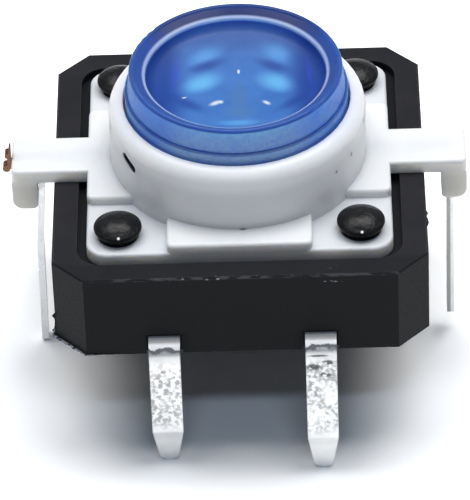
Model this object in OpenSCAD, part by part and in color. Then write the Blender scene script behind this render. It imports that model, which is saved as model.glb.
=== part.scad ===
// Tactile push button switch, 12 mm square, with a lamp under its see-through cap.
// Origin: centre of the base's underside, where it sits on the circuit board. X right, Y back, Z up.

/* [Base housing] */
// Side of the square base
base_side = 12; // [11.6:0.1:13]
// Height of the base's rim above the board
base_height = 3.05; // [2.95:0.05:3.5]
// Cut across each upright corner, along each wall
corner_cut = 1; // [0.6:0.1:1.3]
// Thickness of the rim round the tray
rim_wall = 0.8; // [0.6:0.05:0.9]
// Depth of the tray that the cover lies in
tray_depth = 0.3; // [0.2:0.05:0.35]
// Radius of the tray's inner corners
tray_corner = 0.8; // [0.4:0.1:1]
// Radius of the round well under the cover
well_r = 4.4; // [4.3:0.05:4.6]
// Width of the ledge in the well that the dome rests on
ledge_width = 0.65; // [0.55:0.05:0.8]
// Break along the top outer edges
edge_break = 0.06; // [0.03:0.01:0.12]
// Radius of the mould pin holes under the strips
support_hole_r = 0.4; // [0.3:0.05:0.45]
// Gap, seen from below, between the mould pin holes and the outer contact pads
support_hole_gap = 0.13; // [0.05:0.01:0.3]
// Side clearance of the notch round each leg
notch_side_gap = 0.08; // [0.04:0.01:0.15]
// Clearance of the notch above each leg
notch_top_gap = 0.15; // [0.05:0.05:0.25]
// Depth of the notch into the wall
notch_depth = 0.15; // [0.1:0.05:0.25]

/* [Staked posts] */
// Radius of a post's neck
post_r = 0.58; // [0.5:0.02:0.64]
// Radius of the melted head
post_head_r = 0.77; // [0.7:0.01:0.8]
// Distance from the cover's edge to a post's axis
post_inset = 1.02; // [0.9:0.02:1.1]
// Height of the flare between neck and head
post_flare = 0.3; // [0.1:0.02:0.4]
// Height of the head's straight edge
post_edge = 0.08; // [0.04:0.02:0.14]
// Height of the head's domed top
post_crown = 0.3; // [0.2:0.02:0.36]
// Rounding of the head's edge
post_round = 0.08; // [0.05:0.01:0.09]
// Clearance round a post in the cover
post_gap = 0.07; // [0.03:0.01:0.1]

/* [Contact strips] */
// Distance between the two strips, across the switch
leg_pitch = 5; // [4.8:0.1:5.2]
// Thickness of the strip
sheet = 0.3; // [0.25:0.01:0.32]
// Width of the strip and of each leg
leg_width = 1; // [0.9:0.05:1.1]
// Height of the strip's underside above the board
strip_lift = 0.33; // [0.25:0.01:0.4]
// Reach of a leg past the base's wall
leg_reach = 0.57; // [0.5:0.01:0.7]
// Inner radius of the leg's bend
leg_bend = 0.15; // [0.1:0.01:0.18]
// Depth of the leg tips below the board
leg_length = 4.2; // [4.15:0.05:4.6]
// Depth of the kink below the board
kink_depth = 2.8; // [2.2:0.1:3.1]
// Outward lean at the kink of the front left leg
front_left_kink = 0.08; // [0:0.01:0.6]
// Outward lean at the kink of the front right leg
front_right_kink = 0.56; // [0:0.01:0.6]
// Outward lean at the kink of both back legs
back_kink = 0.3; // [0:0.01:0.6]
// Return of the front left tip from its kink
front_left_return = 0.27; // [0.05:0.01:0.3]
// Return of the other three tips from their kinks
tip_return = 0.18; // [0.05:0.01:0.3]
// Thickness of the coined tip
tip_sheet = 0.2; // [0.16:0.01:0.24]
// Width of the tip
tip_width = 0.68; // [0.6:0.02:0.9]
// Radius of the tip's corners
tip_corner = 0.32; // [0.1:0.02:0.34]
// Width added on each side where the strip is anchored in the base
anchor_reach = 0.3; // [0.2:0.05:0.4]
// Share of the strip's way from the well to the notch that an anchor takes
anchor_share = 0.5; // [0.3:0.05:0.6]
// Radius of the middle contact pad
centre_pad_r = 0.95; // [0.8:0.05:1.1]
// Rise of the middle contact pad above its strip
centre_pad_lift = 0.25; // [0.22:0.01:0.26]
// Radius of the two outer contact pads
outer_pad_r = 0.42; // [0.34:0.02:0.44]
// Rise of the outer pads and of the dome's ledge
seat_lift = 0.2; // [0.18:0.01:0.22]
// Width of the tongue to the middle pad
tongue_width = 0.9; // [0.7:0.05:1.1]

/* [Snap dome and plunger] */
// Thickness of the dome
dome_sheet = 0.08; // [0.06:0.01:0.1]
// Rise of the dome's inside above its seat
dome_rise = 0.3; // [0.28:0.01:0.34]
// Clearance round the dome in the well
dome_gap = 0.15; // [0.1:0.01:0.2]
// Width of the dome's flat rim
dome_rim = 0.3; // [0.2:0.02:0.4]
// Clearance round the plunger in the well
plunger_gap = 0.1; // [0.06:0.01:0.15]
// Share of the plunger's height that its disc takes, above the nub
disc_share = 0.56; // [0.4:0.02:0.7]
// Radius of the nub that presses the dome
nub_r = 0.9; // [0.6:0.05:1.2]
// Gap between the nub and the dome at rest
nub_gap = 0.02; // [0.01:0.01:0.03]

/* [Cover frame] */
// Clearance between the cover's plate and the rim
plate_gap = 0.3; // [0.2:0.05:0.4]
// Radius of the plate's upright corners
plate_corner = 0.7; // [0.5:0.05:0.9]
// Thickness of the plate at its corner pads
pad_thickness = 0.45; // [0.4:0.01:0.5]
// Thickness of the raised cross
cross_thickness = 0.77; // [0.7:0.01:0.9]
// Width of each bar of the raised cross
cross_width = 4.64; // [4.4:0.02:4.9]
// Rounding along the plate's top edges
soft_edge = 0.1; // [0.05:0.01:0.12]
// Thickness of the collar's wall
collar_wall = 0.47; // [0.4:0.01:0.55]
// Height of the collar above the cross
collar_rise = 2.18; // [2:0.02:2.4]
// Radius of the collar's shoulder
shoulder = 0.45; // [0.25:0.05:0.45]
// Reach of each side arm past the base's wall
arm_reach = 1.38; // [1.35:0.01:1.6]
// Width of each side arm
arm_width = 1.8; // [1.6:0.05:2]
// Length of the boss at each arm's end
boss_length = 0.82; // [0.78:0.01:0.85]
// Height of the boss's foot above the board
boss_foot = 2; // [1.8:0.05:2.3]
// Radius of the boss's outer lower corner
boss_round = 0.35; // [0.2:0.05:0.45]
// Radius of the boss's inner lower corner
boss_inner_round = 0.18; // [0.1:0.02:0.3]
// Width of the bridge that carries the lamp
bridge_width = 4; // [3.96:0.02:4.1]
// Thickness of the bridge
bridge_thickness = 0.8; // [0.76:0.02:0.84]
// Length of the slit in the collar's wall
slit_length = 0.8; // [0.5:0.01:0.9]
// Width of the slit
slit_width = 0.34; // [0.12:0.01:0.4]
// Height of the slit above the cross
slit_rise = 1.3; // [1.2:0.02:1.5]

/* [Button cap] */
// Radius of the cap's skirt
cap_r = 3.6; // [3.5:0.02:3.7]
// Running clearance between the skirt and the collar
cap_gap = 0.08; // [0.05:0.01:0.1]
// Width of the step from the skirt to the head
head_step = 0.08; // [0.05:0.01:0.12]
// Draw of the head's side towards its top
head_draw = 0.08; // [0:0.01:0.12]
// Height of the skirt's edge above the collar
step_proud = 0.35; // [0.3:0.01:0.5]
// Height of the cap's top above the collar
cap_proud = 1.2; // [1.15:0.01:1.4]
// Rounding of the head's top edge
head_round = 0.1; // [0.05:0.01:0.12]
// Width of the sloping rim round the bowl
rim_width = 0.51; // [0.45:0.01:0.6]
// Drop of the sloping rim towards the bowl
rim_drop = 0.25; // [0.2:0.01:0.3]
// Depth of the bowl below the rim's inner edge
bowl_depth = 0.77; // [0.7:0.01:0.8]
// Radius of the bowl's shallow floor
bowl_floor_r = 9; // [8:0.5:12]
// Radius of the curve from the bowl's floor to its wall
bowl_curve = 0.45; // [0.4:0.01:0.5]
// Thickness of the cap under the bowl
cap_floor = 0.55; // [0.5:0.01:0.6]
// Thickness of the skirt
skirt_wall = 0.6; // [0.5:0.02:0.64]
// Height of the skirt's whole ring below the collar's top
skirt_drop = 1.7; // [1.5:0.02:1.75]
// Gap between the bridge and the cap's legs
cap_leg_gap = 0.15; // [0.1:0.01:0.2]
// Share of the room between the cap's legs and the well's wall that the hooks take
hook_share = 0.41; // [0.3:0.01:0.5]
// Height of the hooks
hook_height = 0.48; // [0.4:0.01:0.5]
// Width of the hooks
hook_width = 3; // [2:0.1:3.4]
// Play between the hooks and the plate
hook_play = 0.07; // [0.04:0.01:0.1]

/* [Lamp] */
// Radius of the lens
lens_r = 1.5; // [1.4:0.02:1.55]
// Radius of the lens's flange
flange_r = 1.9; // [1.8:0.02:1.92]
// Thickness of the flange
flange_thickness = 0.4; // [0.3:0.02:0.5]
// Height of the lens from its underside to the dome
lens_side = 0.65; // [0.6:0.01:0.68]
// Rise of the lens's dome
lens_rise = 0.75; // [0.7:0.01:0.78]
// Depth of the lens's seat in the bridge
lens_seat = 0.1; // [0.05:0.01:0.12]
// Distance between the leads in the lens
lead_pitch = 2.54; // [2.5:0.01:2.58]
// Thickness of a lead
lead_sheet = 0.22; // [0.2:0.01:0.26]
// Width of a lead
lead_width = 0.48; // [0.4:0.01:0.5]
// Clearance round a lead
lead_gap = 0.04; // [0.02:0.01:0.06]
// Clearance between the leads and the base's rim
lead_clear = 0.02; // [0.01:0.01:0.04]
// Radius of a lead's bends, at its middle
lead_bend = 0.2; // [0.16:0.01:0.24]
// Distance of the anode lead's drop from the base's wall
anode_drop = 0.4; // [0.36:0.01:0.48]
// Height of the anode lead's bent place above the board
anode_knee_z = -0.1; // [-0.5:0.05:0.5]
// Outward lean of the anode lead at its bent place
anode_knee = 0.23; // [0:0.01:0.3]
// Outward lean of the anode lead at its end
anode_lean = 0.28; // [0:0.01:0.4]
// Depth of the anode lead's end below the board
anode_length = 4.1; // [3.8:0.05:4.1]
// Distance of the cathode lead's drop from the base's wall
cathode_drop = 0.86; // [0.84:0.01:0.9]
// Depth of the cathode lead's end below the board
cathode_length = 3.4; // [3:0.05:4]
// Width of the cut spur at the left arm's tip
spur_width = 0.32; // [0.2:0.02:0.4]
// Radius of the lower bead of the spur's burr
spur_bead = 0.125; // [0.08:0.005:0.14]
// Drop of the burr's lower bead below the lead's middle
bead_drop = 0.1; // [0.04:0.01:0.14]
// Height of the spur's turned-up burr above the lead
burr_rise = 0.6; // [0.5:0.02:0.8]
// Side of the square chip
chip_side = 0.24; // [0.2:0.01:0.26]
// Height of the chip
chip_height = 0.1; // [0.08:0.01:0.12]
// Radius of the cup's mouth
cup_r = 0.3; // [0.26:0.01:0.32]
// Depth of the cup
cup_depth = 0.14; // [0.12:0.01:0.16]
// Radius of a bond wire
wire_r = 0.02; // [0.015:0.001:0.03]

/* [Hidden] */
$fn = 64;
// Facets of a shallow arc, and the sides of a hair-thin wire
fine = 360;
wire_sides = 6;
// How far a cutter runs past the face that it cuts
past = 0.5;

// Heights, from the board up
strip_top = strip_lift + sheet;
seat_z = strip_top + seat_lift;
centre_pad_z = strip_top + centre_pad_lift;
dome_top = seat_z + dome_rise + dome_sheet;
plate_z = base_height - tray_depth;
pad_z = plate_z + pad_thickness;
cross_z = plate_z + cross_thickness;
collar_z = cross_z + collar_rise;
bridge_z = plate_z + bridge_thickness;
hook_top = plate_z - hook_play;
plunger_top = hook_top - hook_height;
cap_step_z = collar_z + step_proud;
cap_top = collar_z + cap_proud;
lead_z = base_height + lead_clear;
lead_mid = lead_z + lead_sheet / 2;
groove_z = lead_z + lead_sheet + lead_gap / 2;
lens_z = bridge_z - lens_seat;

// Sizes across
wall_x = base_side / 2;
tray_side = base_side - 2 * rim_wall;
plate_side = tray_side - 2 * plate_gap;
post_at = plate_side / 2 - post_inset;
strip_x = leg_pitch / 2;
leg_out = wall_x + leg_reach;
ledge_r = well_r - ledge_width;
dome_r = well_r - dome_gap;
crown_r = dome_r - dome_rim;
outer_pad_y = sqrt(pow(dome_r - dome_rim / 2, 2) - pow(strip_x, 2));
support_hole_y = outer_pad_y + outer_pad_r + support_hole_gap + support_hole_r;
anchor_room = wall_x - notch_depth - well_r;
bore_r = cap_r + cap_gap;
collar_r = bore_r + collar_wall;
arm_tip = wall_x + arm_reach;
head_r = cap_r - head_step - head_draw;
bowl_r = head_r - rim_width;
cap_leg_y = bridge_width / 2 + cap_leg_gap;
lead_x = lead_pitch / 2;
anode_x = wall_x + anode_drop;
cathode_x = wall_x + cathode_drop;

// The slit's place round the collar, and its slope
slit_angle = -147.4;
slit_tilt = -22.6;

// Inside the lamp: the cup's block, the post's head, and the chip's place in the cup
cup_top = lens_z + 0.85;
cup_block = 0.35;
cup_wall = 0.12;
post_head_x = 0.8;
post_head_block = 0.2;
attach_height = 0.02;
attach_r = 0.16;
chip_z = cup_top - cup_depth + attach_height;
chip_top = chip_z + chip_height;

// Flat shapes

module rounded_square(side, r) {
    square([side, side - 2 * r], center = true);
    square([side - 2 * r, side], center = true);
    for (x = [-1, 1], y = [-1, 1])
        translate([x, y] * (side / 2 - r)) circle(r);
}

module cut_corner_square(side, cut) {
    h = side / 2;
    c = h - cut;
    polygon([[c, -h], [h, -c], [h, c], [c, h], [-c, h], [-h, c], [-h, -c], [-c, -h]]);
}

// Cross-section of a slab with rounded top edges: x across, y up
module slab_section(width, z0, z1, soft) {
    translate([-width / 2, z0]) square([width, z1 - z0 - soft]);
    translate([-width / 2 + soft, z0]) square([width - 2 * soft, z1 - z0]);
    for (s = [-1, 1])
        translate([s * (width / 2 - soft), z1 - soft]) circle(soft, $fn = 32);
}

// A quarter of a bent strip round the origin, from +X to +Y
module quarter_bend(middle_r, thickness) {
    intersection() {
        difference() {
            circle(middle_r + thickness / 2);
            circle(middle_r - thickness / 2);
        }
        square(middle_r + thickness);
    }
}

// Solid shapes

// A slab with rounded corners and rounded top edges
module soft_slab(width, depth, z0, z1, corner, soft) {
    rotate([90, 0, 0]) linear_extrude(depth - 2 * corner, center = true) slab_section(width, z0, z1, soft);
    rotate([90, 0, 90]) linear_extrude(width - 2 * corner, center = true) slab_section(depth, z0, z1, soft);
    for (x = [-1, 1], y = [-1, 1])
        translate([x * (width / 2 - corner), y * (depth / 2 - corner), 0]) rotate_extrude()
            intersection() {
                slab_section(2 * corner, z0, z1, soft);
                square([corner, z1]);
            }
}

// A flat shape drawn across X and up Z, given a thickness along Y
module stand_up(thickness) {
    rotate([90, 0, 0]) linear_extrude(thickness, center = true) children();
}

// Base housing

module staked_post() {
    flare_z = pad_z + post_flare;
    head_z = flare_z + post_edge + post_crown;
    crown_ball = (pow(post_head_r, 2) + pow(post_crown, 2)) / (2 * post_crown);
    edge_x = post_head_r - post_round;
    edge_z = head_z - crown_ball + sqrt(pow(crown_ball - post_round, 2) - pow(edge_x, 2));
    meet_x = edge_x * crown_ball / (crown_ball - post_round);
    rotate_extrude() {
        translate([0, plate_z - past]) square([post_r, pad_z - plate_z + past]);
        polygon([[0, pad_z], [post_r, pad_z], [post_head_r, flare_z], [0, flare_z]]);
        translate([0, flare_z]) square([post_head_r, edge_z - flare_z]);
        translate([edge_x, edge_z]) circle(post_round);
        intersection() {
            translate([0, flare_z]) square([meet_x, post_edge + post_crown]);
            translate([0, head_z - crown_ball]) circle(crown_ball, $fn = fine);
        }
    }
}

module base_blank() {
    difference() {
        linear_extrude(base_height) cut_corner_square(base_side, corner_cut);
        for (k = [0 : 7]) {
            reach = k % 2 == 0 ? wall_x : (base_side - corner_cut) / sqrt(2);
            rotate(45 * k) translate([reach, 0, base_height]) rotate([0, 45, 0])
                cube([edge_break * sqrt(2), base_side, edge_break * sqrt(2)], center = true);
        }
    }
}

module leg_notches() {
    width = leg_width + 2 * notch_side_gap;
    height = strip_top + notch_top_gap + past;
    for (x = [-1, 1], y = [-1, 1])
        translate([x * strip_x, y * wall_x, height / 2 - past])
            cube([width, 2 * notch_depth, height], center = true);
}

module base_housing() {
    color("#242529") {
        difference() {
            base_blank();
            translate([0, 0, plate_z]) linear_extrude(tray_depth + past)
                rounded_square(tray_side, tray_corner);
            translate([0, 0, seat_z]) cylinder(r = well_r, h = base_height, $fn = 128);
            translate([0, 0, strip_top]) cylinder(r = ledge_r, h = base_height, $fn = 128);
            for (x = [-1, 1], y = [-1, 1])
                translate([x * strip_x, y * support_hole_y, -past])
                    cylinder(r = support_hole_r, h = strip_lift + past);
            leg_notches();
            contact_strip_left();
            contact_strip_right();
        }
        for (x = [-1, 1], y = [-1, 1])
            translate([x * post_at, y * post_at, 0]) staked_post();
    }
}

// Contact strips

// Side view of a leg on the +Y side: x is the distance from the middle, y is up
module leg_side(kink, back) {
    bend_outer = leg_bend + sheet;
    bend_z = strip_top - bend_outer;
    translate([leg_out - bend_outer, bend_z]) quarter_bend(leg_bend + sheet / 2, sheet);
    polygon([
        [leg_out, bend_z], [leg_out + kink, -kink_depth], [leg_out + kink - back, -leg_length],
        [leg_out + kink - back - tip_sheet, -leg_length], [leg_out + kink - sheet, -kink_depth],
        [leg_out - sheet, bend_z]
    ]);
}

// Front view of a leg: x across, y up
module leg_front() {
    tip_z = tip_corner - leg_length;
    translate([-leg_width / 2, -kink_depth]) square([leg_width, kink_depth + strip_top]);
    polygon([
        [-leg_width / 2, -kink_depth], [-tip_width / 2, tip_z],
        [tip_width / 2, tip_z], [leg_width / 2, -kink_depth]
    ]);
    translate([tip_corner - tip_width / 2, -leg_length])
        square([tip_width - 2 * tip_corner, tip_corner + past]);
    for (s = [-1, 1])
        translate([s * (tip_width / 2 - tip_corner), tip_z]) circle(tip_corner, $fn = 32);
}

module leg(kink, back) {
    intersection() {
        rotate([90, 0, 90]) linear_extrude(leg_width + past, center = true) leg_side(kink, back);
        translate([0, leg_out, 0]) stand_up(2 * leg_out) leg_front();
    }
}

// A pad pressed up out of the strip, hollow underneath
module pressed_pad(r, lift) {
    difference() {
        translate([0, 0, strip_lift]) cylinder(r = r, h = sheet + lift);
        translate([0, 0, strip_lift - past]) cylinder(r = r - sheet / 2, h = lift + past);
    }
}

// The straight strip from front to back with its anchors and legs, centred on X
module strip_bar(front_kink, front_back) {
    run = leg_out - leg_bend - sheet;
    translate([0, 0, strip_lift]) linear_extrude(sheet) {
        square([leg_width, 2 * run], center = true);
        for (s = [-1, 1])
            translate([0, s * (well_r + anchor_room / 2)])
                square([leg_width + 2 * anchor_reach, anchor_room * anchor_share], center = true);
    }
    leg(back_kink, tip_return);
    mirror([0, 1, 0]) leg(front_kink, front_back);
}

module contact_strip_left() {
    difference() {
        union() {
            translate([-strip_x, 0, 0]) strip_bar(front_left_kink, front_left_return);
            translate([-strip_x, -tongue_width / 2, strip_lift]) cube([strip_x, tongue_width, sheet]);
            translate([0, 0, strip_lift]) cylinder(r = centre_pad_r, h = sheet);
        }
        translate([0, 0, strip_lift - past]) cylinder(r = centre_pad_r - sheet, h = sheet + 2 * past);
    }
    pressed_pad(centre_pad_r - sheet, centre_pad_lift);
}

module contact_strip_right() {
    difference() {
        translate([strip_x, 0, 0]) strip_bar(front_right_kink, tip_return);
        for (s = [-1, 1])
            translate([strip_x, s * outer_pad_y, strip_lift - past])
                cylinder(r = outer_pad_r, h = sheet + 2 * past);
    }
    for (s = [-1, 1])
        translate([strip_x, s * outer_pad_y, 0]) pressed_pad(outer_pad_r, seat_lift);
}

module left_contact_strip() {
    color("#d4d5d6") contact_strip_left();
}

module right_contact_strip() {
    color("#d4d5d6") contact_strip_right();
}

// Snap dome and plunger

module snap_dome() {
    ball = (pow(crown_r, 2) + pow(dome_rise, 2)) / (2 * dome_rise);
    color("#c9c3b2") rotate_extrude($fn = 128) {
        intersection() {
            translate([0, seat_z + dome_rise - ball]) difference() {
                circle(ball + dome_sheet, $fn = 2 * fine);
                circle(ball, $fn = 2 * fine);
            }
            translate([0, seat_z]) square([crown_r, dome_rise + 2 * dome_sheet]);
        }
        translate([crown_r - dome_sheet / 2, seat_z]) square([dome_rim + dome_sheet / 2, dome_sheet]);
    }
}

module plunger() {
    nub_z = dome_top + nub_gap;
    disc = (plunger_top - nub_z) * disc_share;
    color("#d9dbdc") {
        translate([0, 0, plunger_top - disc]) cylinder(r = well_r - plunger_gap, h = disc, $fn = 128);
        translate([0, 0, nub_z]) cylinder(r = nub_r, h = plunger_top - nub_z);
    }
}

// Cover frame

module collar() {
    rotate_extrude($fn = 128) {
        translate([bore_r, plate_z]) square([collar_wall, collar_z - shoulder - plate_z]);
        intersection() {
            translate([collar_r - shoulder, collar_z - shoulder]) circle(shoulder);
            translate([bore_r, plate_z]) square([collar_wall, collar_z]);
        }
        translate([bore_r, plate_z]) square([collar_wall - shoulder, collar_z - plate_z]);
    }
}

// Side view of an end boss: x outward, y up
module boss_side() {
    height = lead_z - boss_foot;
    translate([arm_tip - boss_length, boss_foot]) {
        translate([boss_inner_round, 0]) square([boss_length - boss_inner_round - boss_round, height]);
        translate([0, boss_round]) square([boss_length, height - boss_round]);
        translate([0, boss_inner_round]) square([2 * boss_inner_round, height - boss_inner_round]);
        translate([boss_inner_round, boss_inner_round]) circle(boss_inner_round);
        translate([boss_length - boss_round, boss_round]) circle(boss_round);
    }
}

// One side arm with its end boss, towards +X
module arm() {
    inner = collar_r;
    translate([(inner + arm_tip) / 2, 0, 0])
        soft_slab(arm_tip - inner, arm_width, base_height, cross_z, 2 * soft_edge, soft_edge);
    stand_up(arm_width) boss_side();
}

module bridge() {
    intersection() {
        rotate([90, 0, 90]) linear_extrude(2 * collar_r, center = true)
            slab_section(bridge_width, plate_z, bridge_z, soft_edge);
        cylinder(r = bore_r + collar_wall / 2, h = collar_z, $fn = 128);
    }
}

// Channel for a lead from the lens to x = reach, open underneath
module lead_channel(reach) {
    width = lead_width + 2 * lead_gap;
    start = lead_x - lead_sheet / 2 - lead_gap;
    slot = lead_sheet + lead_bend + 2 * lead_gap;
    translate([start, -width / 2, boss_foot - past])
        cube([reach - start, width, groove_z - boss_foot + past]);
    translate([start, -width / 2, plate_z - past])
        cube([slot, width, bridge_thickness + 2 * past]);
}

module collar_slit() {
    middle_r = bore_r + collar_wall / 2;
    rotate(slit_angle) translate([middle_r, 0, cross_z + slit_rise]) rotate([slit_tilt, 0, 0]) {
        cube([2 * collar_wall, slit_length - slit_width, slit_width], center = true);
        for (s = [-1, 1])
            translate([0, s * (slit_length - slit_width) / 2, 0]) rotate([0, 90, 0])
                cylinder(d = slit_width, h = 2 * collar_wall, center = true, $fn = 32);
    }
}

module cover_frame() {
    color("#f1f2f2") difference() {
        union() {
            difference() {
                union() {
                    soft_slab(plate_side, plate_side, plate_z, pad_z, plate_corner, soft_edge);
                    soft_slab(cross_width, plate_side, plate_z, cross_z, 2 * soft_edge, soft_edge);
                    soft_slab(plate_side, cross_width, plate_z, cross_z, 2 * soft_edge, soft_edge);
                    arm();
                    mirror([1, 0, 0]) arm();
                }
                translate([0, 0, plate_z - past]) cylinder(r = bore_r, h = collar_z, $fn = 128);
            }
            collar();
            bridge();
        }
        for (x = [-1, 1], y = [-1, 1])
            translate([x * post_at, y * post_at, plate_z - past])
                cylinder(r = post_r + post_gap, h = collar_z);
        translate([0, 0, lens_z]) cylinder(r = flange_r + lead_gap, h = collar_z);
        lead_channel(cathode_x + lead_sheet / 2 + lead_gap);
        mirror([1, 0, 0]) lead_channel(arm_tip + past);
        collar_slit();
    }
}

// Button cap

// Space of the bowl: x is the distance from the axis, y is up
module bowl_space() {
    lip_z = cap_top - rim_drop;
    floor_z = lip_z - bowl_depth;
    curve_x = bowl_r - bowl_curve;
    curve_z = floor_z + bowl_floor_r - sqrt(pow(bowl_floor_r - bowl_curve, 2) - pow(curve_x, 2));
    meet_x = curve_x * bowl_floor_r / (bowl_floor_r - bowl_curve);
    intersection() {
        translate([0, floor_z + bowl_floor_r]) circle(bowl_floor_r, $fn = 2 * fine);
        translate([0, floor_z - past]) square([meet_x, curve_z - floor_z + past]);
    }
    translate([curve_x, curve_z]) circle(bowl_curve);
    translate([0, curve_z]) square([bowl_r, cap_top - curve_z + past]);
}

// Half section of the cap's round part
module cap_section() {
    ring_z = collar_z - skirt_drop;
    ceiling_z = cap_top - rim_drop - bowl_depth - cap_floor;
    difference() {
        union() {
            translate([0, ring_z]) square([cap_r, cap_step_z - ring_z]);
            polygon([
                [0, cap_step_z], [cap_r - head_step, cap_step_z], [head_r, cap_top - head_round],
                [head_r - head_round, cap_top], [bowl_r, cap_top - rim_drop], [0, cap_top - rim_drop]
            ]);
            translate([head_r - head_round, cap_top - head_round]) circle(head_round, $fn = 32);
        }
        translate([0, ring_z - past]) square([cap_r - skirt_wall, ceiling_z - ring_z + past]);
        bowl_space();
    }
}

module hook_section() {
    nose = hook_height / 2;
    leg_x = cap_r - skirt_wall / 4;
    hook_x = cap_r + (well_r - cap_r) * hook_share;
    polygon([
        [leg_x, plunger_top], [cap_r, plunger_top], [hook_x, plunger_top + nose],
        [hook_x, hook_top], [leg_x, hook_top]
    ]);
}

module button_cap() {
    ring_z = collar_z - skirt_drop;
    color("#2f6fe0", 0.85) {
        rotate_extrude($fn = 128) cap_section();
        intersection() {
            translate([0, 0, plunger_top]) difference() {
                cylinder(r = cap_r, h = ring_z - plunger_top, $fn = 128);
                translate([0, 0, -past]) cylinder(r = cap_r - skirt_wall, h = ring_z, $fn = 128);
            }
            for (s = [-1, 1])
                translate([-cap_r, s > 0 ? cap_leg_y : -cap_leg_y - cap_r, 0])
                    cube([2 * cap_r, cap_r, ring_z]);
        }
        intersection() {
            rotate_extrude($fn = 128) hook_section();
            translate([-hook_width / 2, -well_r, 0]) cube([hook_width, 2 * well_r, ring_z]);
        }
    }
}

// Lamp

module led_lens() {
    lens_ball = (pow(lens_r, 2) + pow(lens_rise, 2)) / (2 * lens_rise);
    lens_top = lens_z + lens_side + lens_rise;
    color("#dfe8f0", 0.5) difference() {
        rotate_extrude() {
            translate([0, lens_z]) square([flange_r, flange_thickness]);
            translate([0, lens_z]) square([lens_r, lens_side]);
            intersection() {
                translate([0, lens_top - lens_ball]) circle(lens_ball, $fn = fine);
                translate([0, lens_z + lens_side]) square([lens_r, lens_rise]);
            }
        }
        translate([(flange_r + lens_r) / 2, -flange_r, lens_z - past])
            cube([flange_r, 2 * flange_r, flange_thickness + 2 * past]);
        anode_metal();
        cathode_metal();
        chip_block();
        attach_dot();
        bond_wire(anode_wire_path());
        bond_wire(cathode_wire_path());
    }
}

// A lead from the lens outward and down, drawn for the +X side: x outward, y up
module lead_side(top, drop_x, knee_z, knee, lean, depth) {
    half = lead_sheet / 2;
    translate([lead_x - half, lead_mid + lead_bend]) square([lead_sheet, top - lead_mid - lead_bend]);
    translate([lead_x + lead_bend, lead_mid + lead_bend]) rotate(180) quarter_bend(lead_bend, lead_sheet);
    translate([lead_x + lead_bend, lead_z]) square([drop_x - lead_x - 2 * lead_bend, lead_sheet]);
    translate([drop_x - lead_bend, lead_mid - lead_bend]) quarter_bend(lead_bend, lead_sheet);
    polygon([
        [drop_x - half, lead_mid - lead_bend], [drop_x + half, lead_mid - lead_bend],
        [drop_x + half + knee, knee_z], [drop_x + half + lean, -depth],
        [drop_x - half + lean, -depth], [drop_x - half + knee, knee_z]
    ]);
}

// The spur left where the lead was cut from its strip, with the burr that the cut turned up: two beads
// with a waist between them, and a thin tip
module cut_spur() {
    face = arm_tip + lead_sheet / 10;
    burr = spur_bead;
    bead = burr * 0.8;
    bead_z = lead_z + lead_sheet + burr_rise - 3 * bead;
    tip_z = lead_z + lead_sheet + burr_rise;
    translate([anode_x - lead_bend, -spur_width / 2, lead_z])
        cube([face + burr - anode_x + lead_bend, spur_width, lead_sheet]);
    stand_up(spur_width) {
        translate([face + 1.3 * burr, lead_mid - bead_drop]) circle(burr, $fn = 32);
        translate([face, lead_z]) square([burr, bead_z - lead_z]);
        translate([face + bead, bead_z]) circle(bead, $fn = 32);
        polygon([[face, bead_z], [face + bead, bead_z], [face + bead / 2, tip_z], [face, tip_z]]);
    }
}

module anode_metal() {
    mirror([1, 0, 0]) {
        stand_up(lead_width)
            lead_side(cup_top - post_head_block, anode_x, anode_knee_z, anode_knee, anode_lean, anode_length);
        translate([post_head_x, -lead_width / 2, cup_top - post_head_block])
            cube([lead_x + lead_sheet / 2 - post_head_x, lead_width, post_head_block]);
        cut_spur();
    }
}

module cathode_metal() {
    stand_up(lead_width) lead_side(cup_top - cup_block, cathode_x, 0, 0, 0, cathode_length);
    difference() {
        translate([0, 0, cup_top - cup_block]) {
            cylinder(r = cup_r + cup_wall, h = cup_block);
            translate([0, -lead_width / 2, 0]) cube([lead_x + lead_sheet / 2, lead_width, cup_block]);
        }
        rotate_extrude()
            polygon([
                [0, cup_top - cup_depth], [attach_r + wire_r, cup_top - cup_depth],
                [cup_r, cup_top], [0, cup_top]
            ]);
    }
}

module anode_lead() {
    color("#c8cacb") anode_metal();
}

module cathode_lead() {
    color("#c8cacb") cathode_metal();
}

module chip_block() {
    translate([-chip_side / 2, -chip_side / 2, chip_z]) cube([chip_side, chip_side, chip_height]);
}

module attach_dot() {
    translate([0, 0, chip_z - attach_height]) cylinder(r = attach_r, h = attach_height, $fn = 8);
}

// Both wires rise from the chip's top, run over and come down on the metal beside it
function wire_over(x0, z0, x1, z1, top) = [
    [x0, z0], [x0, z0 + (top - z0) * 0.6], [x0 + (x1 - x0) * 0.25, top],
    [x0 + (x1 - x0) * 0.6, top - (top - z1) * 0.2], [x1, z1]
];
function anode_wire_path() =
    wire_over(-chip_side / 4, chip_top, -(post_head_x + lead_x) / 2, cup_top, cup_top + cup_block / 2);
function cathode_wire_path() =
    wire_over(chip_side / 4, chip_top, (cup_r + cup_wall + lead_x) / 2, cup_top, cup_top + cup_block / 3);

// Direction of a path at a point, halfway between the runs that meet there
function run_way(path, i) = let (
    a = path[max(i - 1, 0)], m = path[i], b = path[min(i + 1, len(path) - 1)],
    u = i > 0 ? (m - a) / norm(m - a) : [0, 1], v = i < len(path) - 1 ? (b - m) / norm(b - m) : [0, -1]
) i == 0 || i == len(path) - 1 ? [0, i == 0 ? 1 : -1] : (u + v) / norm(u + v);

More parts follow.
